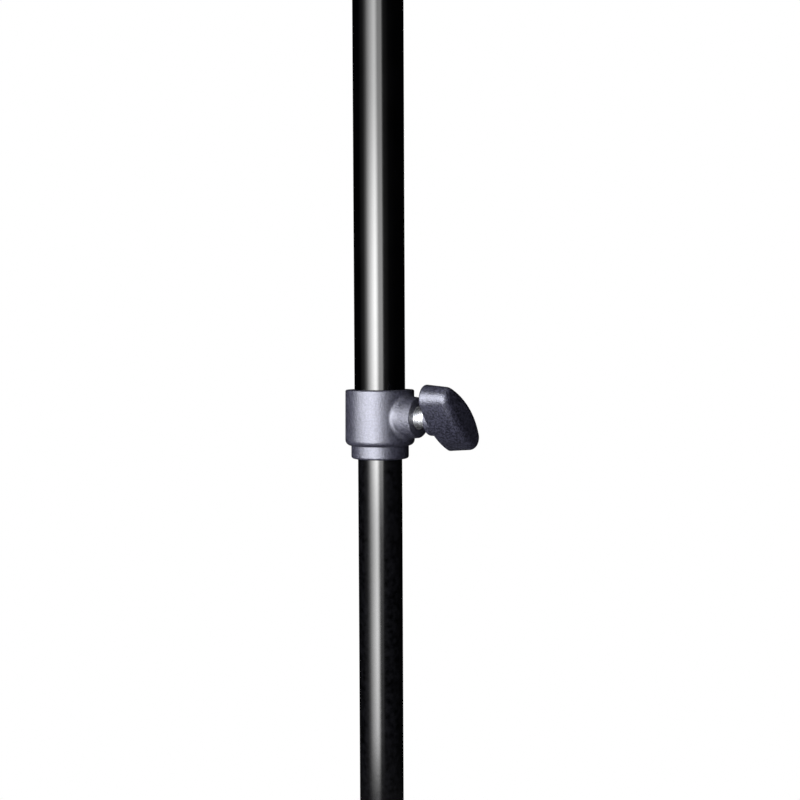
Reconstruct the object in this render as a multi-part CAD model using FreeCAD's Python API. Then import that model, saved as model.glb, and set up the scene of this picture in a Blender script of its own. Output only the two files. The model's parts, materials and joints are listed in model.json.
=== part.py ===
import FreeCAD, Part
import math
import os

# An orchestra music stand: a three-legged base, a two-part column locked by a wing screw, and a
# steel desk on a tilt head.  Millimetres, +Z up, origin on the floor under the column's axis.
# -Y is the player's side, and +X is the side that both wing knobs point to.

Vector = FreeCAD.Vector
ORIGIN = Vector(0, 0, 0)
X = Vector(1, 0, 0)
Y = Vector(0, 1, 0)
Z = Vector(0, 0, 1)

# ---- Fits ----
running_gap = 0.05
seat_gap = 0.05
face_gap = 0.05
loose_gap = 0.3
# An edge counts as lying on a plane when it is this close to it.
touch = 0.01

# ---- Column ----
inner_tube_radius = 11.1
inner_tube_wall = 1.5
inner_tube_bottom = 62.0
inner_tube_top = 700.0
outer_tube_radius = 12.7
outer_tube_wall = 1.2
outer_tube_top = 1048.0
guide_spigot_length = 20.0
guide_flange_height = 4.0
guide_chamfer = 0.6
guide_bore_radius = 6.0

# ---- Clamp collar, with heights counted from the clamp screw's axis ----
clamp_height = 440.0
collar_top = 13.5
collar_shoulder = -14.4
collar_bottom = -20.9
collar_top_radius = 17.25
collar_shoulder_radius = 17.45
collar_ring_radius = 14.45
collar_lip_height = 1.5
collar_top_round = 0.8
collar_shoulder_round = 2.9
collar_ring_round = 1.2
outer_tube_end = -9.0
boss_radius = 9.95
boss_reach = 23.3
boss_draft = 6.4
boss_root_round = 3.0
boss_rim_round = 0.6
collar_pin_radius = 2.0
collar_pin_rise = 7.0

# ---- Clamp screw ----
stud_radius = 4.76
stud_chamfer = 0.8
stud_inner_end = 15.05
stud_end_gap = 1.0
insert_radius = 5.8
insert_start = 16.0
insert_proud = 0.15
insert_countersink = 0.6
insert_rim_round = 0.2
pad_bore_radius = 5.3
pad_radius = 4.2
pad_gap = 0.15
pad_hole_radius = 4.6
clamp_knob_face = 29.9
clamp_knob_turn = 48.5

# ---- Wing knob, used for the clamp screw and for the tilt bolt ----
knob_hub_radius = 8.6
knob_hub_height = 3.9
knob_hub_round = 0.8
wing_lobe_radius = 6.75
wing_lobe_centre = 15.1
wing_waist = 9.2
wing_depth = 15.9
wing_draft = 5.0
wing_crown_drop = 1.6
wing_outer_round = 3.9
wing_inner_round = 0.8
knob_bore_depth = 13.5

# ---- Base ----
hub_bottom = 56.0
hub_top = 125.0
hub_neck_radius = 16.5
hub_neck_bottom = 108.0
hub_waist_radius = 18.4
hub_waist_height = 95.0
hub_skirt_radius = 26.0
hub_skirt_top = 80.0
hub_skirt_bottom = 62.0
hub_foot_radius = 22.5
hub_core_radius = 8.5
hub_top_round = 1.5
socket_radius = 13.5
socket_reach = 48.0
socket_round = 1.5
cap_thickness = 3.0
cap_radius = 21.0
cap_round = 1.2
cap_plug_gap = 1.0
leg_count = 3
first_leg_azimuth = -90.0
leg_names = ("front", "rear_right", "rear_left")
leg_radius = 9.5
leg_wall = 1.5
leg_slope = 15.0
leg_axis_height = 88.0
leg_start = 17.0
leg_start_gap = 0.2
leg_end = 281.0
foot_wall = 3.0
foot_cover = 34.0
foot_end_wall = 4.0
foot_pad_length = 30.0
foot_pad_width = 19.0
foot_pad_height = 13.0
foot_pad_reach = 268.0
foot_round = 2.0
set_screw_radius = 3.0
set_screw_height = 117.0
set_screw_azimuths = (90.0, -30.0)
set_screw_key = 3.0
set_screw_key_depth = 3.0
leg_bolt_radius = 3.0
leg_bolt_reach = 36.0
leg_bolt_head_radius = 5.0
leg_bolt_head_height = 3.0
leg_bolt_seat = 12.9
leg_bolt_inner_end = 5.0
leg_bolt_key = 4.0
leg_bolt_key_depth = 2.0
leg_bolt_head_round = 1.4

# ---- Tilt head ----
pivot_height = 1082.0
head_spigot_length = 30.0
head_shoulder_radius = 14.5
head_shoulder_height = 8.0
head_taper_height = 4.0
head_taper_radius = 13.3
tongue_thickness = 12.0
tongue_radius = 13.0
head_pin_radius = 2.0
head_pin_drop = 15.0

# ---- Tilt clamp, along X through the pivot ----
tilt_bolt_radius = 4.0
tilt_bolt_end = 24.0
tilt_bolt_chamfer = 0.8
bolt_head_radius = 8.5
bolt_head_height = 4.0
bolt_head_round = 3.4
friction_washer_thickness = 1.5
friction_washer_radius = 12.5
tilt_washer_thickness = 2.0
tilt_washer_radius = 9.5
tilt_washer_chamfer = 0.3
washer_bore_radius = 4.35
tilt_insert_radius = 5.6
tilt_insert_length = 14.0
tilt_knob_turn = 20.0

# ---- Desk, modelled upright about the pivot and then tilted back ----
desk_tilt_back = 20.0
desk_width = 508.0
desk_bottom = -120.0
desk_top = 225.0
desk_offset = 35.0
desk_sheet = 1.2
desk_flange = 10.0
desk_corner = 24.0
shelf_depth = 60.0
shelf_lip = 14.0
shelf_bend = 3.0
shelf_bead_radius = 1.7
bracket_sheet = 3.0
bracket_width = 64.0
bracket_half_height = 45.0
bracket_corner = 6.0
bracket_ear_half_height = 18.0
bracket_ear_radius = 13.0
rivet_radius = 2.5
rivet_head_radius = 4.5
rivet_head_height = 1.8
rivet_head_round = 1.4
bracket_rivet_across = 23.0
bracket_rivet_up = 34.0
stiffener_length = 420.0
stiffener_height = 44.0
stiffener_crown = 18.0
stiffener_depth = 8.0
stiffener_slant = 3.2
stiffener_rise = 95.0
stiffener_rivets_across = (-190.0, -65.0, 65.0, 190.0)
stiffener_rivet_up = 17.2
shelf_rivets_across = (-220.0, -110.0, 0.0, 110.0, 220.0)
shelf_rivet_setback = 6.0
shelf_rivet_head_radius = 3.6
shelf_rivet_round = 1.2
shelf_rivet_clench_radius = 3.3
shelf_rivet_clench_height = 1.0

# ---- Derived sizes ----
inner_tube_bore = inner_tube_radius - inner_tube_wall
outer_tube_bore = outer_tube_radius - outer_tube_wall
collar_bore = outer_tube_radius + seat_gap
collar_lip_top = clamp_height + collar_bottom + collar_lip_height
outer_tube_bottom = clamp_height + outer_tube_end
clamp_centre = Vector(0, 0, clamp_height)
pivot = Vector(0, 0, pivot_height)
ear_inner = tongue_thickness / 2 + face_gap + friction_washer_thickness + face_gap
ear_outer = ear_inner + bracket_sheet
panel_back = -desk_offset
panel_front = panel_back - desk_sheet
flange_back = panel_front + desk_flange


# ---- Shape helpers ----
def cylinder(radius, length, base=ORIGIN, axis=Z):
    return Part.makeCylinder(radius, length, base, axis)


def ring(outer_radius, inner_radius, length, base=ORIGIN, axis=Z):
    return cylinder(outer_radius, length, base, axis).cut(cylinder(inner_radius, length, base, axis))


def hexagon(across_flats, length, base, axis):
    """Six-sided bar, as cut by a hexagon key."""
    corner = across_flats / math.sqrt(3)
    angles = [math.radians(60 * step) for step in range(6)]
    points = [Vector(corner * math.cos(angle), corner * math.sin(angle), 0) for angle in angles]
    bar = Part.Face(Part.makePolygon(points + points[:1])).extrude(Z * length)
    bar.Placement = FreeCAD.Placement(base, FreeCAD.Rotation(Z, axis))
    return bar


def box(low, high):
    """Block between two opposite corners."""
    size = high.sub(low)
    return Part.makeBox(size.x, size.y, size.z, low)


def turned(profile):
    """Solid turned about Z from a closed outline of (radius, height) points."""
    points = [Vector(radius, 0, height) for radius, height in profile]
    outline = Part.makePolygon(points + points[:1])
    return Part.Face(outline).revolve(ORIGIN, Z, 360)


def rounded(shape, radius, chosen):
    """Fillet every edge that the test picks."""
    return shape.makeFillet(radius, [edge for edge in shape.Edges if chosen(edge)])


def rim_at(radius, height):
    """Test for a circular edge about Z with this radius and height."""

    def chosen(edge):
        curve = edge.Curve
        if not isinstance(curve, Part.Circle):
            return False
        return abs(curve.Radius - radius) < touch and abs(curve.Center.z - height) < touch

    return chosen


def joined(shapes):
    return shapes[0].multiFuse(shapes[1:]).removeSplitter()


def group(shapes):
    """Several separate solids kept in one node."""
    return Part.makeCompound(shapes)


def turned_about_z(shape, azimuth):
    copy = shape.copy()
    copy.rotate(ORIGIN, Z, azimuth)
    return copy


def along_x(shape, base, turn):
    """Stand a shape made along +Z onto +X, its own +Y turned from +Z towards -Y."""
    angle = math.radians(turn)
    long_way = Vector(0, -math.sin(angle), math.cos(angle))
    short_way = Vector(0, math.cos(angle), math.sin(angle))
    copy = shape.copy()
    copy.Placement = FreeCAD.Placement(base, FreeCAD.Rotation(short_way, long_way, X, "ZXY"))
    return copy


def rounded_rectangle(width, low, high, corner):
    """Face in the XZ plane, centred on X, with all four corners rounded."""
    plate = box(Vector(-width / 2, 0, low), Vector(width / 2, corner, high))
    plate = rounded(plate, corner, lambda edge: edge.BoundBox.YLength > touch)
    return min(plate.Faces, key=lambda face: face.CenterOfMass.y)


def plate_xz(width, low, high, corner, front, thickness):
    """Upright plate between y = front and y = front + thickness."""
    face = rounded_rectangle(width, low, high, corner)
    face.translate(Vector(0, front, 0))
    return face.extrude(Vector(0, thickness, 0))


# ---- Column ----
def make_inner_tube():
    height = inner_tube_top - inner_tube_bottom
    return ring(inner_tube_radius, inner_tube_bore, height, Vector(0, 0, inner_tube_bottom))


def make_inner_tube_guide():
    """Nylon plug that centres the inner tube's top end inside the outer tube."""
    spigot = cylinder(inner_tube_bore - seat_gap, guide_spigot_length)
    spigot.translate(Vector(0, 0, inner_tube_top - guide_spigot_length))
    flange = cylinder(outer_tube_bore - running_gap, guide_flange_height, Vector(0, 0, inner_tube_top))
    flange = flange.makeChamfer(guide_chamfer, flange.Edges)
    length = guide_spigot_length + guide_flange_height
    core = cylinder(guide_bore_radius, length, Vector(0, 0, inner_tube_top - guide_spigot_length))
    return joined([spigot, flange]).cut(core)


def make_guide_bush():
    """Nylon sleeve between the collar and the inner tube, held between the lip and the tube's end."""
    bottom = collar_lip_top + face_gap
    height = outer_tube_bottom - face_gap - bottom
    outer_radius = collar_bore - running_gap
    return ring(outer_radius, inner_tube_radius + running_gap, height, Vector(0, 0, bottom))


def make_outer_tube():
    height = outer_tube_top - outer_tube_bottom
    tube = ring(outer_tube_radius, outer_tube_bore, height, Vector(0, 0, outer_tube_bottom))
    tube = tube.cut(cylinder(pad_hole_radius, 2 * outer_tube_radius, clamp_centre, X))
    tube = tube.cut(collar_pin_hole())
    return tube.cut(head_pin_hole())


# ---- Clamp collar ----
def collar_pin_hole():
    base = Vector(0, 0, clamp_height + collar_pin_rise)
    return cylinder(collar_pin_radius + seat_gap, 2 * collar_shoulder_radius, base, Y)


def make_collar_pin():
    """Spring pin through the collar's rear wall and the outer tube's wall."""
    start = outer_tube_bore + loose_gap
    base = Vector(0, start, clamp_height + collar_pin_rise)
    return ring(collar_pin_radius, collar_pin_radius / 2, collar_top_radius - loose_gap - start, base, Y)


def make_clamp_collar():
    body = turned([
        (0, collar_bottom),
        (collar_ring_radius, collar_bottom),
        (collar_ring_radius, collar_shoulder),
        (collar_shoulder_radius, collar_shoulder),
        (collar_top_radius, collar_top),
        (0, collar_top),
    ])
    body = rounded(body, collar_shoulder_round, rim_at(collar_shoulder_radius, collar_shoulder))
    body = rounded(body, collar_ring_round, rim_at(collar_ring_radius, collar_bottom))
    body = rounded(body, collar_top_round, rim_at(collar_top_radius, collar_top))
    base_radius = boss_radius + boss_reach * math.tan(math.radians(boss_draft))
    boss = Part.makeCone(base_radius, boss_radius, boss_reach, ORIGIN, X)
    collar = body.fuse(boss)
    collar = rounded(collar, boss_root_round, is_boss_root)
    collar = rounded(collar, boss_rim_round, lambda edge: edge.BoundBox.XMin > boss_reach - touch)
    collar.translate(clamp_centre)

    bore_height = collar_top - collar_bottom
    tube_bore = cylinder(collar_bore, bore_height, Vector(0, 0, collar_lip_top))
    lip_bore = cylinder(inner_tube_radius + loose_gap, bore_height)
    lip_bore.translate(Vector(0, 0, clamp_height + collar_bottom - collar_lip_height))
    pad_bore = cylinder(pad_bore_radius, boss_reach, clamp_centre, X)
    insert_seat = cylinder(insert_radius + seat_gap, boss_reach, clamp_centre + X * insert_start, X)
    for cutter in (tube_bore, lip_bore, pad_bore, insert_seat, collar_pin_hole()):
        collar = collar.cut(cutter)
    return collar


def is_boss_root(edge):
    """The saddle-shaped edge where the boss leaves the collar."""
    bounds = edge.BoundBox
    on_the_collar = boss_radius < bounds.XMin and bounds.XMax < boss_reach - boss_rim_round
    return on_the_collar and bounds.YLength > boss_radius / 2


def make_thread_insert():
    """Threaded steel bush pressed into the boss, countersunk round the stud."""
    end = boss_reach + insert_proud
    length = end - insert_start
    bush = ring(insert_radius, stud_radius + running_gap, length, clamp_centre + X * insert_start, X)
    mouth_rims = [edge for edge in bush.Edges if edge.BoundBox.XMin > end - touch]
    inner_rim = min(mouth_rims, key=lambda edge: edge.BoundBox.ZLength)
    bush = bush.makeChamfer(insert_countersink, [inner_rim])
    return rounded(bush, insert_rim_round, lambda edge: (
        edge.BoundBox.XMin > end - touch and edge.BoundBox.ZLength > 2 * insert_radius - touch))


def make_clamp_pad():
    """Brass pad, hollowed to the inner tube's radius, that the stud presses on."""
    pad = cylinder(pad_radius, stud_inner_end - face_gap, clamp_centre, X)
    clear = cylinder(inner_tube_radius + pad_gap, 4 * pad_radius, clamp_centre - Z * 2 * pad_radius)
    return pad.cut(clear)


def make_clamp_stud():
    end = clamp_knob_face + knob_bore_depth - stud_end_gap
    stud = cylinder(stud_radius, end - stud_inner_end, clamp_centre + X * stud_inner_end, X)
    return stud.makeChamfer(stud_chamfer, [
        edge for edge in stud.Edges if edge.BoundBox.XMax < stud_inner_end + touch
    ])


# ---- Wing knob ----
def wing_outline(height):
    """Two-lobed outline along Y, its lobes joined by bowed sides, drawn in by the draft with height."""
    inset = height * math.tan(math.radians(wing_draft))
    lobe_radius = wing_lobe_radius - inset
    waist = wing_waist - inset
    reach = wing_lobe_centre
    side_radius = (reach ** 2 + waist ** 2 - lobe_radius ** 2) / (2 * (waist - lobe_radius))
    scale = side_radius / (side_radius - lobe_radius)
    touch_x = (side_radius - waist) * (scale - 1)
    touch_y = reach * scale
    right_low = Vector(touch_x, -touch_y, height)
    right_high = Vector(touch_x, touch_y, height)
    left_high = Vector(-touch_x, touch_y, height)
    left_low = Vector(-touch_x, -touch_y, height)
    tip = reach + lobe_radius
    arcs = [
        Part.Arc(right_low, Vector(waist, 0, height), right_high),
        Part.Arc(right_high, Vector(0, tip, height), left_high),
        Part.Arc(left_high, Vector(-waist, 0, height), left_low),
        Part.Arc(left_low, Vector(0, -tip, height), right_low),
    ]
    return Part.Wire([arc.toShape() for arc in arcs])


def wing_knob(bore_radius, bore_depth):
    """Moulded wing knob along +Z with its hub's face at z = 0 and a blind bore."""
    tip = wing_lobe_centre + wing_lobe_radius
    above_the_crown = 1.5 * wing_depth
    wing = Part.makeLoft([wing_outline(0), wing_outline(above_the_crown)], True, True)
    crown_radius = (tip ** 2 + wing_crown_drop ** 2) / (2 * wing_crown_drop)
    crown_base = Vector(-2 * wing_waist, 0, wing_depth - crown_radius)
    crown = cylinder(crown_radius, 4 * wing_waist, crown_base, X)
    crown.rotate(crown_base, X, 180)
    wing = wing.common(crown)
    wing = rounded(wing, wing_outer_round, lambda edge: edge.BoundBox.ZMin > wing_depth / 2)
    wing = rounded(wing, wing_inner_round, lambda edge: edge.BoundBox.ZMax < touch)
    wing.translate(Z * knob_hub_height)
    hub = cylinder(knob_hub_radius, 2 * knob_hub_height)
    hub = rounded(hub, knob_hub_round, rim_at(knob_hub_radius, 0))
    return joined([wing, hub]).cut(cylinder(bore_radius, bore_depth))


def make_clamp_knob():
    knob = wing_knob(stud_radius + seat_gap, knob_bore_depth)
    return along_x(knob, clamp_centre + X * clamp_knob_face, clamp_knob_turn)


# ---- Base, with each leg made along +X and then turned to its azimuth ----
slope = math.radians(leg_slope)
leg_way = Vector(math.cos(slope), 0, -math.sin(slope))
below_leg = Vector(-math.sin(slope), 0, -math.cos(slope))
leg_azimuths = [first_leg_azimuth + index * 360 / leg_count for index in range(leg_count)]


def leg_point(distance):
    return Vector(0, 0, leg_axis_height) + leg_way * distance


def leg_bolt_line(radius, start, end):
    """Cylinder across the leg, between two distances below the leg's axis."""
    return cylinder(radius, end - start, leg_point(leg_bolt_reach) + below_leg * start, below_leg)


def make_base_hub():
    neck_points = [
        Vector(hub_skirt_radius, 0, hub_skirt_top),
        Vector(hub_waist_radius, 0, hub_waist_height),
        Vector(hub_neck_radius, 0, hub_neck_bottom),
    ]
    outline = [
        Part.makePolygon([
            Vector(hub_neck_radius, 0, hub_neck_bottom),
            Vector(hub_neck_radius, 0, hub_top),
            Vector(0, 0, hub_top),
            Vector(0, 0, hub_bottom),
            Vector(hub_foot_radius, 0, hub_bottom),
            Vector(hub_skirt_radius, 0, hub_skirt_bottom),
            Vector(hub_skirt_radius, 0, hub_skirt_top),
        ]),
        Part.Arc(*neck_points).toShape(),
    ]
    edges = [edge for piece in outline for edge in piece.Edges]
    body = Part.Face(Part.Wire(Part.__sortEdges__(edges))).revolve(ORIGIN, Z, 360)
    body = rounded(body, hub_top_round, rim_at(hub_neck_radius, hub_top))
    socket = cylinder(socket_radius, socket_reach, leg_point(0), leg_way)
    socket = socket.makeFillet(socket_round, [max(socket.Edges, key=lambda edge: edge.CenterOfMass.x)])
    hub = joined([body] + [turned_about_z(socket, azimuth) for azimuth in leg_azimuths])

    leg_bore = cylinder(leg_radius + seat_gap, socket_reach, leg_point(leg_start - leg_start_gap), leg_way)
    bolt_hole = leg_bolt_line(leg_bolt_radius + seat_gap, 0, 2 * socket_radius)
    bolt_seat = leg_bolt_line(leg_bolt_head_radius + loose_gap, leg_bolt_seat, 2 * socket_radius)
    cutters = [
        turned_about_z(cutter, azimuth)
        for azimuth in leg_azimuths
        for cutter in (leg_bore, bolt_hole, bolt_seat)
    ]
    cutters.append(cylinder(inner_tube_radius + seat_gap, hub_top, Vector(0, 0, inner_tube_bottom)))
    cutters.append(cylinder(hub_core_radius, hub_top, Vector(0, 0, 0)))
    cutters.extend(set_screw_line(set_screw_radius + seat_gap, azimuth, 0, hub_skirt_radius)
                   for azimuth in set_screw_azimuths)
    return hub.cut(cutters)


def make_hub_cap():
    """Plastic cap pressed into the hub's open underside."""
    disc = cylinder(cap_radius, cap_thickness, Vector(0, 0, hub_bottom - cap_thickness))
    disc = rounded(disc, cap_round, rim_at(cap_radius, hub_bottom - cap_thickness))
    plug_height = inner_tube_bottom - hub_bottom - cap_plug_gap
    return joined([disc, cylinder(hub_core_radius - seat_gap, plug_height, Vector(0, 0, hub_bottom))])


def set_screw_line(radius, azimuth, start, end):
    line = cylinder(radius, end - start, Vector(start, 0, set_screw_height), X)
    return turned_about_z(line, azimuth)


def make_hub_set_screws():
    """Socket set screws that grip the inner tube in the hub."""
    screws = []
    outer_end = hub_neck_radius - loose_gap
    for azimuth in set_screw_azimuths:
        screw = set_screw_line(set_screw_radius, azimuth, inner_tube_radius + seat_gap, outer_end)
        key_base = Vector(outer_end - set_screw_key_depth, 0, set_screw_height)
        key = hexagon(set_screw_key, 2 * set_screw_key_depth, key_base, X)
        screws.append(screw.cut(turned_about_z(key, azimuth)))
    return group(screws)


def make_leg():
    length = leg_end - leg_start
    tube = ring(leg_radius, leg_radius - leg_wall, length, leg_point(leg_start), leg_way)
    return tube.cut(leg_bolt_line(leg_bolt_radius + seat_gap, 0, 2 * leg_radius))


def make_leg_bolt():
    shank = leg_bolt_line(leg_bolt_radius, leg_bolt_inner_end, leg_bolt_seat)
    head = leg_bolt_line(leg_bolt_head_radius, leg_bolt_seat, leg_bolt_seat + leg_bolt_head_height)
    head = head.makeFillet(leg_bolt_head_round, [min(head.Edges, key=lambda edge: edge.CenterOfMass.z)])
    key_start = leg_bolt_seat + leg_bolt_head_height - leg_bolt_key_depth
    key_base = leg_point(leg_bolt_reach) + below_leg * key_start
    key = hexagon(leg_bolt_key, 2 * leg_bolt_key_depth, key_base, below_leg)
    return joined([shank, head]).cut(key)


def make_foot():
    """Rubber boot over the leg's end, with a flat pad on the floor."""
    outer_radius = leg_radius + foot_wall
    sleeve = cylinder(outer_radius, foot_cover + foot_end_wall, leg_point(leg_end - foot_cover), leg_way)
    sleeve = sleeve.makeFillet(foot_round, [max(sleeve.Edges, key=lambda edge: edge.CenterOfMass.x)])
    straight = (foot_pad_length - foot_pad_width) / 2
    half_width = foot_pad_width / 2
    ends = [cylinder(half_width, foot_pad_height, Vector(foot_pad_reach + side * straight, 0, 0))
            for side in (-1, 1)]
    middle = box(
        Vector(foot_pad_reach - straight, -half_width, 0),
        Vector(foot_pad_reach + straight, half_width, foot_pad_height),
    )
    foot = joined([sleeve, middle] + ends)
    bore = cylinder(leg_radius + seat_gap, foot_cover + seat_gap, leg_point(leg_end - foot_cover), leg_way)
    return foot.cut(bore)


# ---- Tilt head ----
def head_pin_hole():
    base = Vector(-2 * outer_tube_radius, 0, outer_tube_top - head_pin_drop)
    return cylinder(head_pin_radius + seat_gap, 4 * outer_tube_radius, base, X)


def make_tilt_head_pin():
    """Spring pin across the outer tube and the tilt head's spigot."""
    base = Vector(-outer_tube_radius, 0, outer_tube_top - head_pin_drop)
    return ring(head_pin_radius, head_pin_radius / 2, 2 * outer_tube_radius, base, X)


def make_tilt_head():
    shoulder_top = outer_tube_top + head_shoulder_height
    spigot_radius = outer_tube_bore - seat_gap
    body = turned([
        (0, outer_tube_top - head_spigot_length),
        (spigot_radius, outer_tube_top - head_spigot_length),
        (spigot_radius, outer_tube_top),
        (head_shoulder_radius, outer_tube_top),
        (head_shoulder_radius, shoulder_top),
        (head_taper_radius, shoulder_top + head_taper_height),
        (0, shoulder_top + head_taper_height),
    ])
    half = tongue_thickness / 2
    neck = box(Vector(-half, -tongue_radius, shoulder_top), Vector(half, tongue_radius, pivot_height))
    eye = cylinder(tongue_radius, tongue_thickness, pivot - X * half, X)
    head = joined([body, neck, eye])
    bore_base = pivot - X * tongue_thickness
    pivot_bore = cylinder(tilt_bolt_radius + running_gap, 2 * tongue_thickness, bore_base, X)
    return head.cut([pivot_bore, head_pin_hole()])


# ---- Tilt clamp ----
def make_tilt_bolt():
    """Round-headed bolt that the tongue and the bracket turn on."""
    shank = cylinder(tilt_bolt_radius, tilt_bolt_end + ear_outer, pivot - X * ear_outer, X)
    shank = shank.makeChamfer(tilt_bolt_chamfer, [
        edge for edge in shank.Edges if edge.BoundBox.XMin > tilt_bolt_end - touch
    ])
    head = cylinder(bolt_head_radius, bolt_head_height, pivot - X * (ear_outer + bolt_head_height), X)
    head = head.makeFillet(bolt_head_round, [
        edge for edge in head.Edges if edge.BoundBox.XMax < -ear_outer - bolt_head_height + touch
    ])
    return joined([shank, head])


def make_friction_washers():
    """Fibre washers between the tongue and the bracket's two ears."""
    start = tongue_thickness / 2 + face_gap
    washers = []
    for base in (start, -start - friction_washer_thickness):
        washers.append(ring(friction_washer_radius, washer_bore_radius, friction_washer_thickness,
                            pivot + X * base, X))
    return group(washers)


def make_tilt_washer():
    base = pivot + X * (ear_outer + face_gap)
    washer = ring(tilt_washer_radius, washer_bore_radius, tilt_washer_thickness, base, X)
    return washer.makeChamfer(tilt_washer_chamfer, [
        edge for edge in washer.Edges if edge.BoundBox.ZLength > 2 * tilt_washer_radius - touch
    ])


tilt_knob_face = ear_outer + face_gap + tilt_washer_thickness + face_gap


def make_tilt_insert():
    """Blind threaded bush moulded into the tilt knob."""
    base = pivot + X * (tilt_knob_face + seat_gap)
    return ring(tilt_insert_radius, tilt_bolt_radius + running_gap, tilt_insert_length, base, X)


def make_tilt_knob():
    knob = wing_knob(tilt_insert_radius + seat_gap, tilt_insert_length + 2 * seat_gap)
    return along_x(knob, pivot + X * tilt_knob_face, tilt_knob_turn)


# ---- Desk ----
def tilted(shape):
    """Carry a shape modelled upright about the pivot to the desk's rest angle."""
    copy = shape.copy()
    copy.translate(pivot)
    copy.rotate(pivot, X, -desk_tilt_back)
    return copy


def rivet_places():
    places = [(across, up) for across in (-bracket_rivet_across, bracket_rivet_across)
              for up in (-bracket_rivet_up, bracket_rivet_up)]
    for across in stiffener_rivets_across:
        for up in (-stiffener_rivet_up, stiffener_rivet_up):
            places.append((across, stiffener_rise + up))
    return places


def rivet_holes():
    front = panel_front - desk_sheet
    return [cylinder(rivet_radius + seat_gap, 2 * desk_flange, Vector(across, front, up), Y)
            for across, up in rivet_places()]


def make_panel_rivets():
    """Flush-faced rivets with domed heads behind the bracket plate and the stiffener's flanges."""
    rivets = []
    for across, up in rivet_places():
        on_bracket = abs(up) <= bracket_rivet_up
        seat = panel_back + (bracket_sheet if on_bracket else desk_sheet)
        shank = cylinder(rivet_radius, seat - panel_front, Vector(across, panel_front, up), Y)
        head = cylinder(rivet_head_radius, rivet_head_height, Vector(across, seat, up), Y)
        head = head.makeFillet(rivet_head_round, [max(head.Edges, key=lambda edge: edge.CenterOfMass.y)])
        rivets.append(joined([shank, head]))
    return group(rivets)


def shelf_rivet_line(radius, across, low, high):
    return cylinder(radius, high - low, Vector(across, panel_front + shelf_rivet_setback, low), Z)


def make_shelf_rivets():
    rivets = []
    bottom = desk_bottom - desk_sheet
    top = desk_bottom + desk_sheet
    for across in shelf_rivets_across:
        shank = shelf_rivet_line(rivet_radius, across, bottom, top)
        head = shelf_rivet_line(shelf_rivet_head_radius, across, bottom - rivet_head_height, bottom)
        head = head.makeFillet(shelf_rivet_round, [min(head.Edges, key=lambda edge: edge.CenterOfMass.z)])
        clench = shelf_rivet_line(shelf_rivet_clench_radius, across, top, top + shelf_rivet_clench_height)
        rivets.append(joined([shank, head, clench]))
    return group(rivets)


def shelf_rivet_holes():
    reach = 2 * rivet_head_height
    return [shelf_rivet_line(rivet_radius + seat_gap, across, desk_bottom - reach, desk_bottom + reach)
            for across in shelf_rivets_across]


def make_desk_panel():
    """Pressed steel pan: a flat face with a flange turned back round its whole edge."""
    pan = plate_xz(desk_width, desk_bottom, desk_top, desk_corner, panel_front, desk_flange)
    hollow = plate_xz(desk_width - 2 * desk_sheet, desk_bottom + desk_sheet, desk_top - desk_sheet,
                      desk_corner - desk_sheet, panel_back, desk_flange)
    pan = rounded(pan, desk_sheet, lambda edge: edge.BoundBox.YMax < panel_front + touch)
    return pan.cut([hollow] + rivet_holes() + shelf_rivet_holes())


def make_desk_shelf():
    """Folded ledge under the panel, with a beaded lip that keeps the sheets on."""
    half = desk_width / 2 - desk_corner
    low = desk_bottom - desk_sheet
    front = panel_front - shelf_depth
    outer = box(Vector(-half, front, low), Vector(half, flange_back, desk_bottom + shelf_lip))
    outer = rounded(outer, shelf_bend, lambda edge: (
        edge.BoundBox.XLength > half and edge.BoundBox.ZMax < low + touch
        and edge.BoundBox.YMax < front + touch))
    inner = box(Vector(-desk_width, front + desk_sheet, desk_bottom),
                Vector(desk_width, flange_back + desk_flange, desk_bottom + 2 * shelf_lip))
    inner = rounded(inner, shelf_bend - desk_sheet, lambda edge: (
        edge.BoundBox.XLength > half and edge.BoundBox.ZMax < desk_bottom + touch
        and edge.BoundBox.YMax < front + 2 * desk_sheet))
    bead_base = Vector(-half, front + shelf_bead_radius, desk_bottom + shelf_lip)
    bead = cylinder(shelf_bead_radius, 2 * half, bead_base, X)
    return joined([outer.cut(inner), bead]).cut(shelf_rivet_holes())


def make_desk_stiffener():
    """Pressed hat-section rail behind the panel."""
    half = stiffener_length / 2
    high = stiffener_height / 2
    crown = stiffener_crown / 2
    back = panel_back + stiffener_depth
    outside = [(panel_back, -high), (panel_back, high), (panel_back + desk_sheet, high),
               (panel_back + desk_sheet, crown + stiffener_slant), (back, crown), (back, -crown),
               (panel_back + desk_sheet, -crown - stiffener_slant), (panel_back + desk_sheet, -high)]
    inside = [(panel_back, crown + stiffener_slant - desk_sheet), (back - desk_sheet, crown - desk_sheet),
              (back - desk_sheet, desk_sheet - crown), (panel_back, desk_sheet - crown - stiffener_slant)]
    rail = section_along_x(outside, half).cut(section_along_x(inside, 2 * half))
    rail.translate(Z * stiffener_rise)
    return rail.cut(rivet_holes())


def section_along_x(section, half):
    points = [Vector(-half, y, z) for y, z in section]
    return Part.Face(Part.makePolygon(points + points[:1])).extrude(X * (2 * half))


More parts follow.
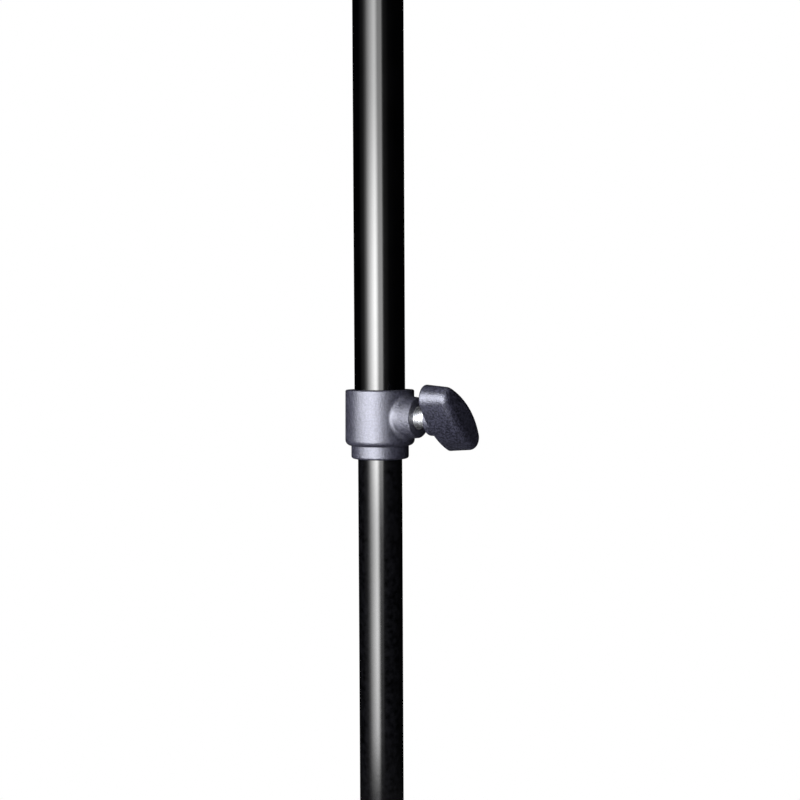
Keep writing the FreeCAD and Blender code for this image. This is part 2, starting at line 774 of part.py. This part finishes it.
def make_desk_bracket():
    """Riveted plate with two ears that straddle the tilt head's tongue."""
    plate = plate_xz(bracket_width, -bracket_half_height, bracket_half_height, bracket_corner,
                     panel_back, bracket_sheet)
    ears = []
    for inner in (ear_inner, -ear_outer):
        root = panel_back + bracket_sheet / 2
        web = section_along_x([(root, -bracket_ear_half_height), (0, -bracket_ear_radius),
                               (0, bracket_ear_radius), (root, bracket_ear_half_height)],
                              bracket_sheet / 2)
        web.translate(X * (inner + bracket_sheet / 2))
        eye = cylinder(bracket_ear_radius, bracket_sheet, Vector(inner, 0, 0), X)
        ears.append(web.fuse(eye))
    bracket = joined([plate] + ears)
    bolt_hole = cylinder(tilt_bolt_radius + seat_gap, 4 * ear_outer, X * (-2 * ear_outer), X)
    return bracket.cut([bolt_hole] + rivet_holes())


# ---- Every piece, by node name ----
def all_pieces():
    pieces = {
        "inner_tube": make_inner_tube(),
        "inner_tube_guide": make_inner_tube_guide(),
        "base_hub": make_base_hub(),
        "hub_cap": make_hub_cap(),
        "hub_set_screws": make_hub_set_screws(),
        "leg_bolts": group([turned_about_z(make_leg_bolt(), azimuth) for azimuth in leg_azimuths]),
        "guide_bush": make_guide_bush(),
        "outer_tube": make_outer_tube(),
        "clamp_collar": make_clamp_collar(),
        "thread_insert": make_thread_insert(),
        "collar_pin": make_collar_pin(),
        "clamp_pad": make_clamp_pad(),
        "clamp_stud": make_clamp_stud(),
        "clamp_knob": make_clamp_knob(),
        "tilt_head": make_tilt_head(),
        "tilt_head_pin": make_tilt_head_pin(),
        "tilt_bolt": make_tilt_bolt(),
        "friction_washers": make_friction_washers(),
        "tilt_washer": make_tilt_washer(),
        "tilt_knob_insert": make_tilt_insert(),
        "tilt_knob": make_tilt_knob(),
        "desk_panel": tilted(make_desk_panel()),
        "desk_shelf": tilted(make_desk_shelf()),
        "desk_stiffener": tilted(make_desk_stiffener()),
        "desk_bracket": tilted(make_desk_bracket()),
        "panel_rivets": tilted(make_panel_rivets()),
        "shelf_rivets": tilted(make_shelf_rivets()),
    }
    for name, azimuth in zip(leg_names, leg_azimuths):
        pieces["leg_" + name] = turned_about_z(make_leg(), azimuth)
        pieces["foot_" + name] = turned_about_z(make_foot(), azimuth)
    return pieces


os.makedirs("parts", exist_ok=True)
for name, shape in all_pieces().items():
    assert shape.isValid(), name + " is not a valid shape"
    shape.exportStep("parts/" + name + ".step")
    bounds = shape.BoundBox
    print(f"{name}: {len(shape.Solids)} solid(s), {shape.Volume:.0f} mm3, "
          f"x {bounds.XMin:.1f} {bounds.XMax:.1f}, y {bounds.YMin:.1f} {bounds.YMax:.1f}, "
          f"z {bounds.ZMin:.1f} {bounds.ZMax:.1f}")
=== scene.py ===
import json
import math

import bmesh
import bpy
from mathutils import Matrix, Vector


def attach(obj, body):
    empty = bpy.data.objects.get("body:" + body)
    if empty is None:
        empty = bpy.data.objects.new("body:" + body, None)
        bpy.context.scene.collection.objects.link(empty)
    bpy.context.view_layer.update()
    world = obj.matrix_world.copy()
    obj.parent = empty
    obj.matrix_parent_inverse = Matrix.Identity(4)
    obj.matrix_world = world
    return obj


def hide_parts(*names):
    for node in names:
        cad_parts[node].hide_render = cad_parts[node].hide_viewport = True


# Looks for an orchestra music stand.  Metres, +Z up, the column's axis at x = y = 0.
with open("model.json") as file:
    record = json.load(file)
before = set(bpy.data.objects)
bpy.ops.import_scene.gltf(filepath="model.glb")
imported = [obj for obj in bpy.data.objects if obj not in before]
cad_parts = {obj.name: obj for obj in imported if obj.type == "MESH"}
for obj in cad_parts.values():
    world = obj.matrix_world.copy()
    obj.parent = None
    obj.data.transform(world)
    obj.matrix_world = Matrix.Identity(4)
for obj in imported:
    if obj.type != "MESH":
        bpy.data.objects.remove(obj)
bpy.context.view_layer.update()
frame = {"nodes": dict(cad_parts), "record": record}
scene = bpy.context.scene

# ---- Sizes repeated from the CAD model ----
MM = 0.001
CLAMP_HEIGHT = 440 * MM
INNER_TUBE = (11.1 * MM, 9.6 * MM)
OUTER_TUBE = (12.7 * MM, 11.5 * MM)
LEG_TUBE = (9.5 * MM, 8.0 * MM)
INNER_TUBE_HEIGHTS = (62 * MM, 700 * MM)
OUTER_TUBE_HEIGHTS = (431 * MM, 1048 * MM)
LEG_AXIS_HEIGHT = 88 * MM
LEG_SLOPE = math.radians(15)
LEG_REACH = (17 * MM, 281 * MM)
LEGS = {"front": -90, "rear_right": 30, "rear_left": 150}
LEG_BOLT_PLACE = 19 * MM
LEG_BOLT_HOLE = 3.05 * MM
PIN_HOLE = 2.05 * MM
COLLAR_PIN_RISE = 7 * MM
HEAD_PIN_DROP = 15 * MM
PAD_HOLE = 4.6 * MM
STUD_RADIUS = 4.76 * MM
STUD_ENDS = (15.05 * MM, 42.4 * MM)
STUD_PITCH = 1.5875 * MM
STUD_THREAD_DEPTH = 0.54 * STUD_PITCH
STUD_CHAMFER = 1.3 * STUD_THREAD_DEPTH

# ---- Camera ----
CAMERA_AZIMUTH = math.radians(34)
CAMERA_ELEVATION = math.radians(3.3)
CAMERA_DISTANCE = 0.546
CAMERA_LENS = 48.96
CAMERA_SENSOR = 36
CAMERA_CLIP_START = 10 * MM
CAMERA_ROLL = math.radians(-0.25)
LOOK_RIGHT = 10.1 * MM
LOOK_UP = 8.2 * MM


def make_camera():
    """Looks just beside and above the clamp screw's axis."""
    sin_a, cos_a = math.sin(CAMERA_AZIMUTH), math.cos(CAMERA_AZIMUTH)
    level = math.cos(CAMERA_ELEVATION)
    back = Vector((sin_a * level, -cos_a * level, math.sin(CAMERA_ELEVATION)))
    right = Vector((cos_a, sin_a, 0))
    up = right.cross(-back)
    clamp = Vector((0, 0, CLAMP_HEIGHT))
    camera = bpy.data.objects.new("camera", bpy.data.cameras.new("camera"))
    scene.collection.objects.link(camera)
    place = clamp + back * CAMERA_DISTANCE
    target = clamp + right * LOOK_RIGHT + up * LOOK_UP
    turn = (place - target).to_track_quat("Z", "Y").to_matrix().to_4x4()
    camera.matrix_world = Matrix.Translation(place) @ turn @ Matrix.Rotation(CAMERA_ROLL, 4, "Z")
    camera.data.lens = CAMERA_LENS
    camera.data.sensor_width = CAMERA_SENSOR
    camera.data.clip_start = CAMERA_CLIP_START
    scene.camera = camera


make_camera()


# ---- Studio ----
def node(tree, kind, inputs=None, **settings):
    """New shader node.  Each input is a plain value, or another node's output socket."""
    made = tree.nodes.new(kind)
    for name, value in settings.items():
        setattr(made, name, value)
    for name, value in (inputs or {}).items():
        if isinstance(value, bpy.types.NodeSocket):
            tree.links.new(value, made.inputs[name])
        else:
            made.inputs[name].default_value = value
    return made


def ramp(tree, factor, stops):
    """Grey colour ramp with (position, level) stops."""
    made = node(tree, "ShaderNodeValToRGB", {"Fac": factor})
    band = made.color_ramp
    while len(band.elements) < len(stops):
        band.elements.new(0.5)
    for element, (position, level) in zip(band.elements, stops):
        element.position = position
        element.color = (level, level, level, 1)
    return made.outputs["Color"]


# Where a Mix node's two colours and its result are among its sockets.
MIX_COLOUR_INPUTS = (6, 7)
MIX_COLOUR_OUTPUT = 2


def colour_mix(tree, factor, first, second):
    """Blend of two plain colours."""
    mix = node(tree, "ShaderNodeMix", {"Factor": factor}, data_type="RGBA")
    for index, colour in zip(MIX_COLOUR_INPUTS, (first, second)):
        mix.inputs[index].default_value = (*colour, 1)
    return mix.outputs[MIX_COLOUR_OUTPUT]


def math_node(tree, operation, first, second=0.0):
    return node(tree, "ShaderNodeMath", {0: first, 1: second}, operation=operation).outputs[0]


KEY_STRENGTH = 25.0
# Softbox brightness by degrees to the right of the camera, and by degrees above the horizon.
KEY_ACROSS = [(-100, 0.0), (-92, 0.003), (-82, 0.008), (-76, 0.012), (-70, 0.028), (-60, 0.1), (-45, 0.42),
              (-20, 1.0), (-15, 0.93), (-8, 0.58), (-3, 0.14), (1, 0.0)]
KEY_UPWARD = [(-45, 0.0), (-30, 0.4), (-18, 0.64), (-12, 0.57), (-8, 0.58), (-4, 0.82), (-1, 1.02),
              (3, 1.05), (7, 0.92), (10, 0.74), (13, 0.55), (30, 0.3), (45, 0.0)]
# The softbox's dim right-hand end, which fades below the horizon.
FILL_ACROSS = [(-8, 0.0), (-3, 0.16), (1, 0.28), (12, 0.26), (17, 0.04), (22, 0.009), (45, 0.001), (75, 0.0)]
FILL_UPWARD = [(-45, 0.0), (-20, 0.1), (-9, 0.17), (-5, 0.6), (0, 1.0), (6, 1.0), (12, 0.75), (45, 0.2)]
AMBIENT = 0.003


def graded(tree, angle, stops):
    """Level read from (degrees, level) stops at an angle in radians."""
    share = node(tree, "ShaderNodeMapRange", {
        "Value": angle, "From Min": -math.pi, "From Max": math.pi})
    return ramp(tree, share.outputs[0], [(0.5 + degrees / 360, level) for degrees, level in stops])


def make_world():
    """White to the camera.  Reflections and light come from one tall graded softbox."""
    world = bpy.data.worlds.new("studio")
    scene.world = world
    world.use_nodes = True
    tree = world.node_tree
    tree.nodes.clear()
    way = node(tree, "ShaderNodeTexCoord").outputs["Generated"]
    sin_a, cos_a = math.sin(CAMERA_AZIMUTH), math.cos(CAMERA_AZIMUTH)
    facing = node(tree, "ShaderNodeVectorMath", {0: way, 1: (sin_a, -cos_a, 0)}, operation="DOT_PRODUCT")
    beside = node(tree, "ShaderNodeVectorMath", {0: way, 1: (cos_a, sin_a, 0)}, operation="DOT_PRODUCT")
    across = math_node(tree, "ARCTAN2", beside.outputs["Value"], facing.outputs["Value"])
    upward = math_node(tree, "ARCSINE", node(tree, "ShaderNodeSeparateXYZ", {0: way}).outputs["Z"])

    def panel(across_stops, upward_stops):
        level_across = graded(tree, across, across_stops)
        return math_node(tree, "MULTIPLY", level_across, graded(tree, upward, upward_stops))

    box = math_node(tree, "ADD", panel(KEY_ACROSS, KEY_UPWARD), panel(FILL_ACROSS, FILL_UPWARD))
    strength = math_node(tree, "ADD", math_node(tree, "MULTIPLY", box, KEY_STRENGTH), AMBIENT)
    studio = node(tree, "ShaderNodeBackground", {"Color": (1, 1, 1, 1), "Strength": strength})
    white = node(tree, "ShaderNodeBackground", {"Color": (1, 1, 1, 1), "Strength": 1.0})
    seen = node(tree, "ShaderNodeLightPath").outputs["Is Camera Ray"]
    mix = node(tree, "ShaderNodeMixShader", {0: seen, 1: studio.outputs[0], 2: white.outputs[0]})
    node(tree, "ShaderNodeOutputWorld", {"Surface": mix.outputs[0]})


make_world()
scene.view_settings.view_transform = "Standard"


def make_panel(name, azimuth, elevation, distance, aim_height, size, energy, receivers=None):
    """Soft rectangular light, placed round the column by azimuth from the camera and elevation in degrees."""
    light = bpy.data.lights.new(name, "AREA")
    light.shape = "RECTANGLE"
    light.size, light.size_y = size
    light.energy = energy
    panel = bpy.data.objects.new(name, light)
    bearing = CAMERA_AZIMUTH + math.radians(azimuth)
    rise = math.radians(elevation)
    way = Vector((math.sin(bearing) * math.cos(rise), -math.cos(bearing) * math.cos(rise), math.sin(rise)))
    panel.location = way * distance + Vector((0, 0, aim_height))
    panel.rotation_euler = way.to_track_quat("Z", "Y").to_euler()
    panel.visible_camera = False
    scene.collection.objects.link(panel)
    if receivers:
        panel.light_linking.receiver_collection = receivers


# From the front the gloss tubes mirror the softbox alone, and from behind a narrow strip.  The clamp is
# kept clear of the light behind the stand, which would catch its rims.
gloss_tubes = bpy.data.collections.new("gloss_tubes")
satin_parts = bpy.data.collections.new("satin_parts")
outlying_parts = bpy.data.collections.new("outlying_parts")
CLAMP_PARTS = {"clamp_collar", "thread_insert", "clamp_stud_thread", "clamp_knob"}
REAR_AIM_HEIGHT = 0.7
make_panel("top_panel", azimuth=0, elevation=89.9, distance=2.16, aim_height=CLAMP_HEIGHT,
           size=(1.4, 1.4), energy=9)
make_panel("left_panel", azimuth=-62, elevation=14, distance=1.0, aim_height=CLAMP_HEIGHT,
           size=(0.7, 0.85), energy=18.5, receivers=satin_parts)
make_panel("rear_strip", azimuth=180, elevation=2, distance=2.2, aim_height=REAR_AIM_HEIGHT,
           size=(0.25, 1.6), energy=14, receivers=gloss_tubes)
make_panel("rear_panel", azimuth=180, elevation=2, distance=2.2, aim_height=REAR_AIM_HEIGHT,
           size=(1.2, 1.2), energy=110, receivers=outlying_parts)

FLOOR_RADIUS = 0.62
FLOOR_SEGMENTS = 96
FLOOR_FADE = (0.36, 0.6)
FLOOR_GLOW = 0.3
# Its paint as the camera sees it, and as the stand does.
FLOOR_SEEN = 0.86
FLOOR_REFLECTED = 0.06
FLOOR_ROUGHNESS = 0.9


def make_floor():
    """Pale round floor that fades out before its edge, and throws little light back on the stand."""
    mesh = bpy.data.meshes.new("floor")
    shape = bmesh.new()
    bmesh.ops.create_circle(shape, cap_ends=True, segments=FLOOR_SEGMENTS, radius=FLOOR_RADIUS)
    shape.to_mesh(mesh)
    shape.free()
    floor = bpy.data.objects.new("floor", mesh)
    scene.collection.objects.link(floor)
    paint = bpy.data.materials.new("floor")
    paint.use_nodes = True
    tree = paint.node_tree
    shader = tree.nodes["Principled BSDF"]
    seen = node(tree, "ShaderNodeLightPath").outputs["Is Camera Ray"]
    shade = colour_mix(tree, seen, (FLOOR_REFLECTED,) * 3, (FLOOR_SEEN,) * 3)
    tree.links.new(shade, shader.inputs["Base Color"])
    shader.inputs["Roughness"].default_value = FLOOR_ROUGHNESS
    glow = math_node(tree, "MULTIPLY", seen, FLOOR_GLOW)
    shader.inputs["Emission Color"].default_value = (1, 1, 1, 1)
    tree.links.new(glow, shader.inputs["Emission Strength"])
    place = node(tree, "ShaderNodeTexCoord").outputs["Object"]
    far = node(tree, "ShaderNodeVectorMath", {0: place}, operation="LENGTH").outputs["Value"]
    fade = node(tree, "ShaderNodeMapRange", {
        "Value": far, "From Min": FLOOR_FADE[0], "From Max": FLOOR_FADE[1],
        "To Min": 1.0, "To Max": 0.0}, interpolation_type="SMOOTHSTEP")
    tree.links.new(fade.outputs[0], shader.inputs["Alpha"])
    mesh.materials.append(paint)


make_floor()


# ---- Materials ----
def object_noise(tree, scale, detail, roughness):
    """Noise fixed to the object, with scale in cycles per metre."""
    place = node(tree, "ShaderNodeTexCoord").outputs["Object"]
    return node(tree, "ShaderNodeTexNoise", {
        "Vector": place, "Scale": scale, "Detail": detail, "Roughness": roughness}).outputs["Fac"]


def spread(tree, factor, low, high, start=0.3, end=0.7):
    """Map a noise's middle range onto low to high."""
    return node(tree, "ShaderNodeMapRange", {
        "Value": factor, "From Min": start, "From Max": end, "To Min": low, "To Max": high}).outputs[0]


def bumped(tree, layers):
    """Stack of bumps from (height, distance in metres) layers."""
    normal = None
    for height, distance in layers:
        inputs = {"Height": height, "Strength": 1.0, "Distance": distance}
        if normal is not None:
            inputs["Normal"] = normal
        normal = node(tree, "ShaderNodeBump", inputs).outputs[0]
    return normal


def grain_depth(tree, start, end, times):
    """Depth of grain against its usual one, rising from 1 between two places along X."""
    place = node(tree, "ShaderNodeTexCoord").outputs["Object"]
    along = node(tree, "ShaderNodeSeparateXYZ", {0: place}).outputs["X"]
    return spread(tree, along, 1.0, times, start, end)


def grain_layers(tree, grain, coarser):
    """Bump layers for (scale, bump distance) pairs."""
    depth = grain_depth(tree, *coarser) if coarser else None
    layers = []
    for scale, distance in grain:
        height = object_noise(tree, scale, 2.0, 0.6)
        layers.append((height, math_node(tree, "MULTIPLY", depth, distance) if depth else distance))
    return layers


# The roughness varies this many times more finely than the colour.
ROUGHNESS_BLOTCH = 1.7
# How far each side of its middle a noise is read for the mottling, at a contrast of 1.
MOTTLE_REACH = 0.2


def material(name, colours, roughness, blotch, grain, metallic=0.0, specular=0.5, tint=None, contrast=1.0,
             coarser=None):
    """Finish with two mottled colours, a roughness range and bump layers.

    blotch is the mottling's scale; grain is a list of (scale, bump distance) pairs, per metre and in metres.
    coarser is (start, end, times): the grain deepens by that many times between two places along X.
    """
    made = bpy.data.materials.new(name)
    made.use_nodes = True
    tree = made.node_tree
    shader = tree.nodes["Principled BSDF"]
    reach = MOTTLE_REACH / contrast
    mottle = spread(tree, object_noise(tree, blotch, 2.0, 0.5), 0, 1, start=0.5 - reach, end=0.5 + reach)
    colour = colour_mix(tree, mottle, *colours)
    rough = spread(tree, object_noise(tree, blotch * ROUGHNESS_BLOTCH, 3.0, 0.6), *roughness)
    tree.links.new(colour, shader.inputs["Base Color"])
    tree.links.new(rough, shader.inputs["Roughness"])
    tree.links.new(bumped(tree, grain_layers(tree, grain, coarser)), shader.inputs["Normal"])
    shader.inputs["Metallic"].default_value = metallic
    shader.inputs["Specular IOR Level"].default_value = specular
    if tint:
        shader.inputs["Specular Tint"].default_value = (*tint, 1)
    return made


CAST_COLOURS = ((0.003, 0.003, 0.006), (0.017, 0.017, 0.026))
CAST_TINT = (0.86, 0.875, 1.0)
KNOB_TINT = (0.84, 0.86, 1.0)
# Where the collar's body gives way to its boss, along X.
BOSS_SHOULDER = (15 * MM, 18 * MM)
MATERIALS = {
    "tube_black": material(
        "tube_black", ((0.0001, 0.0001, 0.00012), (0.0004, 0.0004, 0.0005)), (0.08, 0.13), 60,
        [(700, 0.000004)]),
    "tube_scuffed": material(
        "tube_scuffed", ((0.0003, 0.0003, 0.0004), (0.0024, 0.0024, 0.003)), (0.1, 0.16), 350,
        [(700, 0.000006), (160, 0.000012)]),
    "cast_charcoal": material(
        "cast_charcoal", CAST_COLOURS, (0.35, 0.44), 1000,
        [(900, 0.00008), (1900, 0.00013)], specular=0.88, tint=CAST_TINT, contrast=3.0),
    "collar_charcoal": material(
        "collar_charcoal", CAST_COLOURS, (0.35, 0.44), 1000,
        [(900, 0.00007), (1900, 0.00012)], specular=0.9, tint=CAST_TINT, contrast=2.3,
        coarser=(*BOSS_SHOULDER, 3.1)),
    "knob_charcoal": material(
        "knob_charcoal", ((0.0015, 0.0015, 0.004), (0.017, 0.017, 0.028)), (0.35, 0.44), 1050,
        [(1050, 0.0001), (2200, 0.0001)], specular=0.95, tint=KNOB_TINT, contrast=2.6),
    "zinc_steel": material(
        "zinc_steel", ((0.74, 0.75, 0.77), (0.86, 0.87, 0.89)), (0.3, 0.44), 800,
        [(2500, 0.000008)], metallic=1.0),
    "brass": material(
        "brass", ((0.62, 0.45, 0.2), (0.8, 0.6, 0.3)), (0.22, 0.38), 500,
        [(2500, 0.00001)], metallic=1.0),
    "nylon": material(
        "nylon", ((0.74, 0.73, 0.68), (0.83, 0.82, 0.78)), (0.4, 0.55), 200,
        [(1500, 0.00003)]),
    "cap_plastic": material(
        "cap_plastic", ((0.012, 0.012, 0.013), (0.022, 0.022, 0.024)), (0.45, 0.6), 400,
        [(2200, 0.00006)]),
    "screw_black": material(
        "screw_black", ((0.02, 0.02, 0.021), (0.045, 0.044, 0.044)), (0.28, 0.42), 900,
        [(3000, 0.00002)], metallic=0.7),
    "foot_rubber": material(
        "foot_rubber", ((0.008, 0.008, 0.008), (0.018, 0.017, 0.016)), (0.62, 0.82), 160,
        [(1800, 0.00008), (250, 0.00006)], specular=0.35),
    "fibre": material(
        "fibre", ((0.1, 0.035, 0.018), (0.2, 0.085, 0.045)), (0.65, 0.8), 700,
        [(1800, 0.00008)], specular=0.3),
    "desk_black": material(
        "desk_black", ((0.006, 0.006, 0.0065), (0.008, 0.008, 0.0086)), (0.38, 0.42), 300,
        [(700, 0.00004), (1800, 0.00004)], specular=0.35),
    "rivet_black": material(
        "rivet_black", ((0.009, 0.009, 0.0095), (0.016, 0.016, 0.017)), (0.28, 0.4), 300,
        [(1500, 0.00004)]),
}
slot_of = {part["node"]: part["material_slot"] for part in frame["record"]["subparts"]}


def finish_piece(piece, slot, finish=None):
    """Give a piece its lights, and its finish, which is its slot's unless another is named."""
    piece.data.materials.clear()
    piece.data.materials.append(MATERIALS[finish or slot])
    if slot == "tube_black":
        gloss_tubes.objects.link(piece)
    else:
        satin_parts.objects.link(piece)
        if piece.name not in CLAMP_PARTS:
            outlying_parts.objects.link(piece)


for name, cad_node in frame["nodes"].items():
    finish_piece(cad_node, slot_of[name], "collar_charcoal" if name == "clamp_collar" else None)


# ---- Pieces finer than the CAD mesh ----
# Edges turning by more than this many degrees look sharp.
SHARP_EDGE = 35


def new_piece(name, shape, body, nodes, slot, finish=None, sharp=SHARP_EDGE):
    """Mesh object from a bmesh, riding on a body in place of CAD nodes."""
    mesh = bpy.data.meshes.new(name)
    shape.to_mesh(mesh)
    shape.free()
    for face in mesh.polygons:
        face.use_smooth = True
    mesh.set_sharp_from_angle(angle=math.radians(sharp))
    piece = bpy.data.objects.new(name, mesh)
    scene.collection.objects.link(piece)
    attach(piece, body)
    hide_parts(*nodes)
    finish_piece(piece, slot, finish)
    return piece


TUBE_SEGMENTS = 160
TUBE_EASE = 0.25 * MM
TUBE_EASE_BEND = 0.3 * TUBE_EASE
DRILL_SEGMENTS = 40


def lathe(shape, profile, base, axis, segments, closed=True):
    """Turn an outline of (radius, distance) points about an axis."""
    turn = axis.to_track_quat("Z", "Y").to_matrix()
    rings = []
    for radius, distance in profile:
        rings.append([
            shape.verts.new(base + turn @ Vector((
                radius * math.cos(2 * math.pi * step / segments),
                radius * math.sin(2 * math.pi * step / segments), distance)))
            for step in range(segments)])
    pairs = list(zip(rings, rings[1:] + rings[:1])) if closed else list(zip(rings, rings[1:]))
    for low, high in pairs:
        for step in range(segments):
            after = (step + 1) % segments
            shape.faces.new((low[step], low[after], high[after], high[step]))


def tube(name, radii, base, axis, length, body, node_name, holes=(), finish=None):
    """Thin-walled tube with eased ends, and round holes at (distance along, direction, radius)."""
    outer, inner = radii
    ease, bend = TUBE_EASE, TUBE_EASE_BEND
    rims = sorted(distance + side * 2 * radius for distance, _, radius in holes for side in (-1, 1))
    rims = [rim for rim in rims if ease < rim < length - ease]
    profile = [(outer - ease, 0), (outer - bend, bend), (outer, ease)]
    profile += [(outer, rim) for rim in rims]
    profile += [(outer, length - ease), (outer - bend, length - bend), (outer - ease, length)]
    profile += [(inner + ease, length), (inner, length - ease)]
    profile += [(inner, rim) for rim in reversed(rims)]
    profile += [(inner, ease), (inner + ease, 0)]
    shape = bmesh.new()
    lathe(shape, profile, base, axis, TUBE_SEGMENTS)
    bmesh.ops.recalc_face_normals(shape, faces=shape.faces)
    piece = new_piece(name, shape, body, [node_name], "tube_black", finish)
    for distance, way, radius in holes:
        drill(piece, base + axis * distance, way, radius, 2 * outer)
    return piece


def drill(piece, centre, way, radius, depth):
    """Bore a hole from the centre outwards."""
    shape = bmesh.new()
    lathe(shape, [(radius, 0), (radius, depth)], centre, way, DRILL_SEGMENTS, closed=False)
    bmesh.ops.holes_fill(shape, edges=shape.edges)
    bmesh.ops.recalc_face_normals(shape, faces=shape.faces)
    mesh = bpy.data.meshes.new("drill")
    shape.to_mesh(mesh)
    shape.free()
    cutter = bpy.data.objects.new("drill", mesh)
    scene.collection.objects.link(cutter)
    cut = piece.modifiers.new("hole", "BOOLEAN")
    cut.operation = "DIFFERENCE"
    cut.solver = "EXACT"
    cut.object = cutter
    graph = bpy.context.evaluated_depsgraph_get()
    result = bpy.data.meshes.new_from_object(piece.evaluated_get(graph))
    piece.modifiers.clear()
    bpy.data.objects.remove(cutter)
    piece.data = result
    result.set_sharp_from_angle(angle=math.radians(SHARP_EDGE))


UP = Vector((0, 0, 1))
SIDE = Vector((1, 0, 0))
BACK = Vector((0, 1, 0))


def make_column():
    """Outer tube, drilled for the pad and its pins, and the scuffed inner tube."""
    low, high = OUTER_TUBE_HEIGHTS
    clamp = CLAMP_HEIGHT - low
    head_pin = high - HEAD_PIN_DROP - low
    tube("outer_tube_shell", OUTER_TUBE, UP * low, UP, high - low, "mast", "outer_tube", [
        (clamp, SIDE, PAD_HOLE), (clamp + COLLAR_PIN_RISE, BACK, PIN_HOLE),
        (head_pin, SIDE, PIN_HOLE), (head_pin, -SIDE, PIN_HOLE)])
    low, high = INNER_TUBE_HEIGHTS
    tube("inner_tube_shell", INNER_TUBE, UP * low, UP, high - low, "base", "inner_tube",
         finish="tube_scuffed")


def make_legs():
    """Three sloping legs, each with a bolt hole below."""
    near, far = LEG_REACH
    for leg, azimuth in LEGS.items():
        turn = Matrix.Rotation(math.radians(azimuth), 3, "Z")
        way = turn @ Vector((math.cos(LEG_SLOPE), 0, -math.sin(LEG_SLOPE)))
        below = turn @ Vector((-math.sin(LEG_SLOPE), 0, -math.cos(LEG_SLOPE)))
        start = UP * LEG_AXIS_HEIGHT + way * near
        tube("leg_shell_" + leg, LEG_TUBE, start, way, far - near, "base", "leg_" + leg,
             [(LEG_BOLT_PLACE, below, LEG_BOLT_HOLE)])


make_column()
make_legs()

STUD_ROWS = 16
STUD_COLUMNS = 72
STUD_SHARP_EDGE = 25
MERGE_DISTANCE = 0.001 * MM
# Half the crest's flat and one flank of a 60 degree thread, as shares of its pitch.
HALF_CREST = 1 / 16
FLANK = 5 / 16


def thread_height(share):
    """Height above the thread's root as a share of its depth, by share of the pitch."""
    flank = min(abs(share % 1 - 0.5) - HALF_CREST, FLANK) / FLANK
    return 1 - max(flank, 0)


def threaded_stud():
    """Right-hand thread along +X, chamfered at its ends."""
    step = STUD_PITCH / STUD_ROWS
    start, end = STUD_ENDS
    rows = int((end - start) / step) + STUD_ROWS + 2
    shape = bmesh.new()
    grid = []
    for row in range(-STUD_ROWS, rows):
        line = []
        for column in range(STUD_COLUMNS + 1):
            share = column / STUD_COLUMNS
            x = min(max(start + (row + STUD_ROWS * share) * step, start), end)
            height = thread_height((x - start) / STUD_PITCH - share)
            thread_radius = STUD_RADIUS - STUD_THREAD_DEPTH * (1 - height)
            chamfer_radius = STUD_RADIUS - STUD_CHAMFER + min(x - start, end - x)
            radius = min(thread_radius, chamfer_radius)
            angle = 2 * math.pi * share
            y, z = radius * math.cos(angle), radius * math.sin(angle)
            line.append(shape.verts.new((x, y, CLAMP_HEIGHT + z)))
        grid.append(line)
    for low, high in zip(grid, grid[1:]):
        for column in range(STUD_COLUMNS):
            shape.faces.new((low[column], low[column + 1], high[column + 1], high[column]))
    bmesh.ops.remove_doubles(shape, verts=shape.verts, dist=MERGE_DISTANCE)
    bmesh.ops.holes_fill(shape, edges=shape.edges)
    bmesh.ops.recalc_face_normals(shape, faces=shape.faces)
    new_piece("clamp_stud_thread", shape, "clamp_screw", ["clamp_stud"], "zinc_steel",
              sharp=STUD_SHARP_EDGE)


threaded_stud()
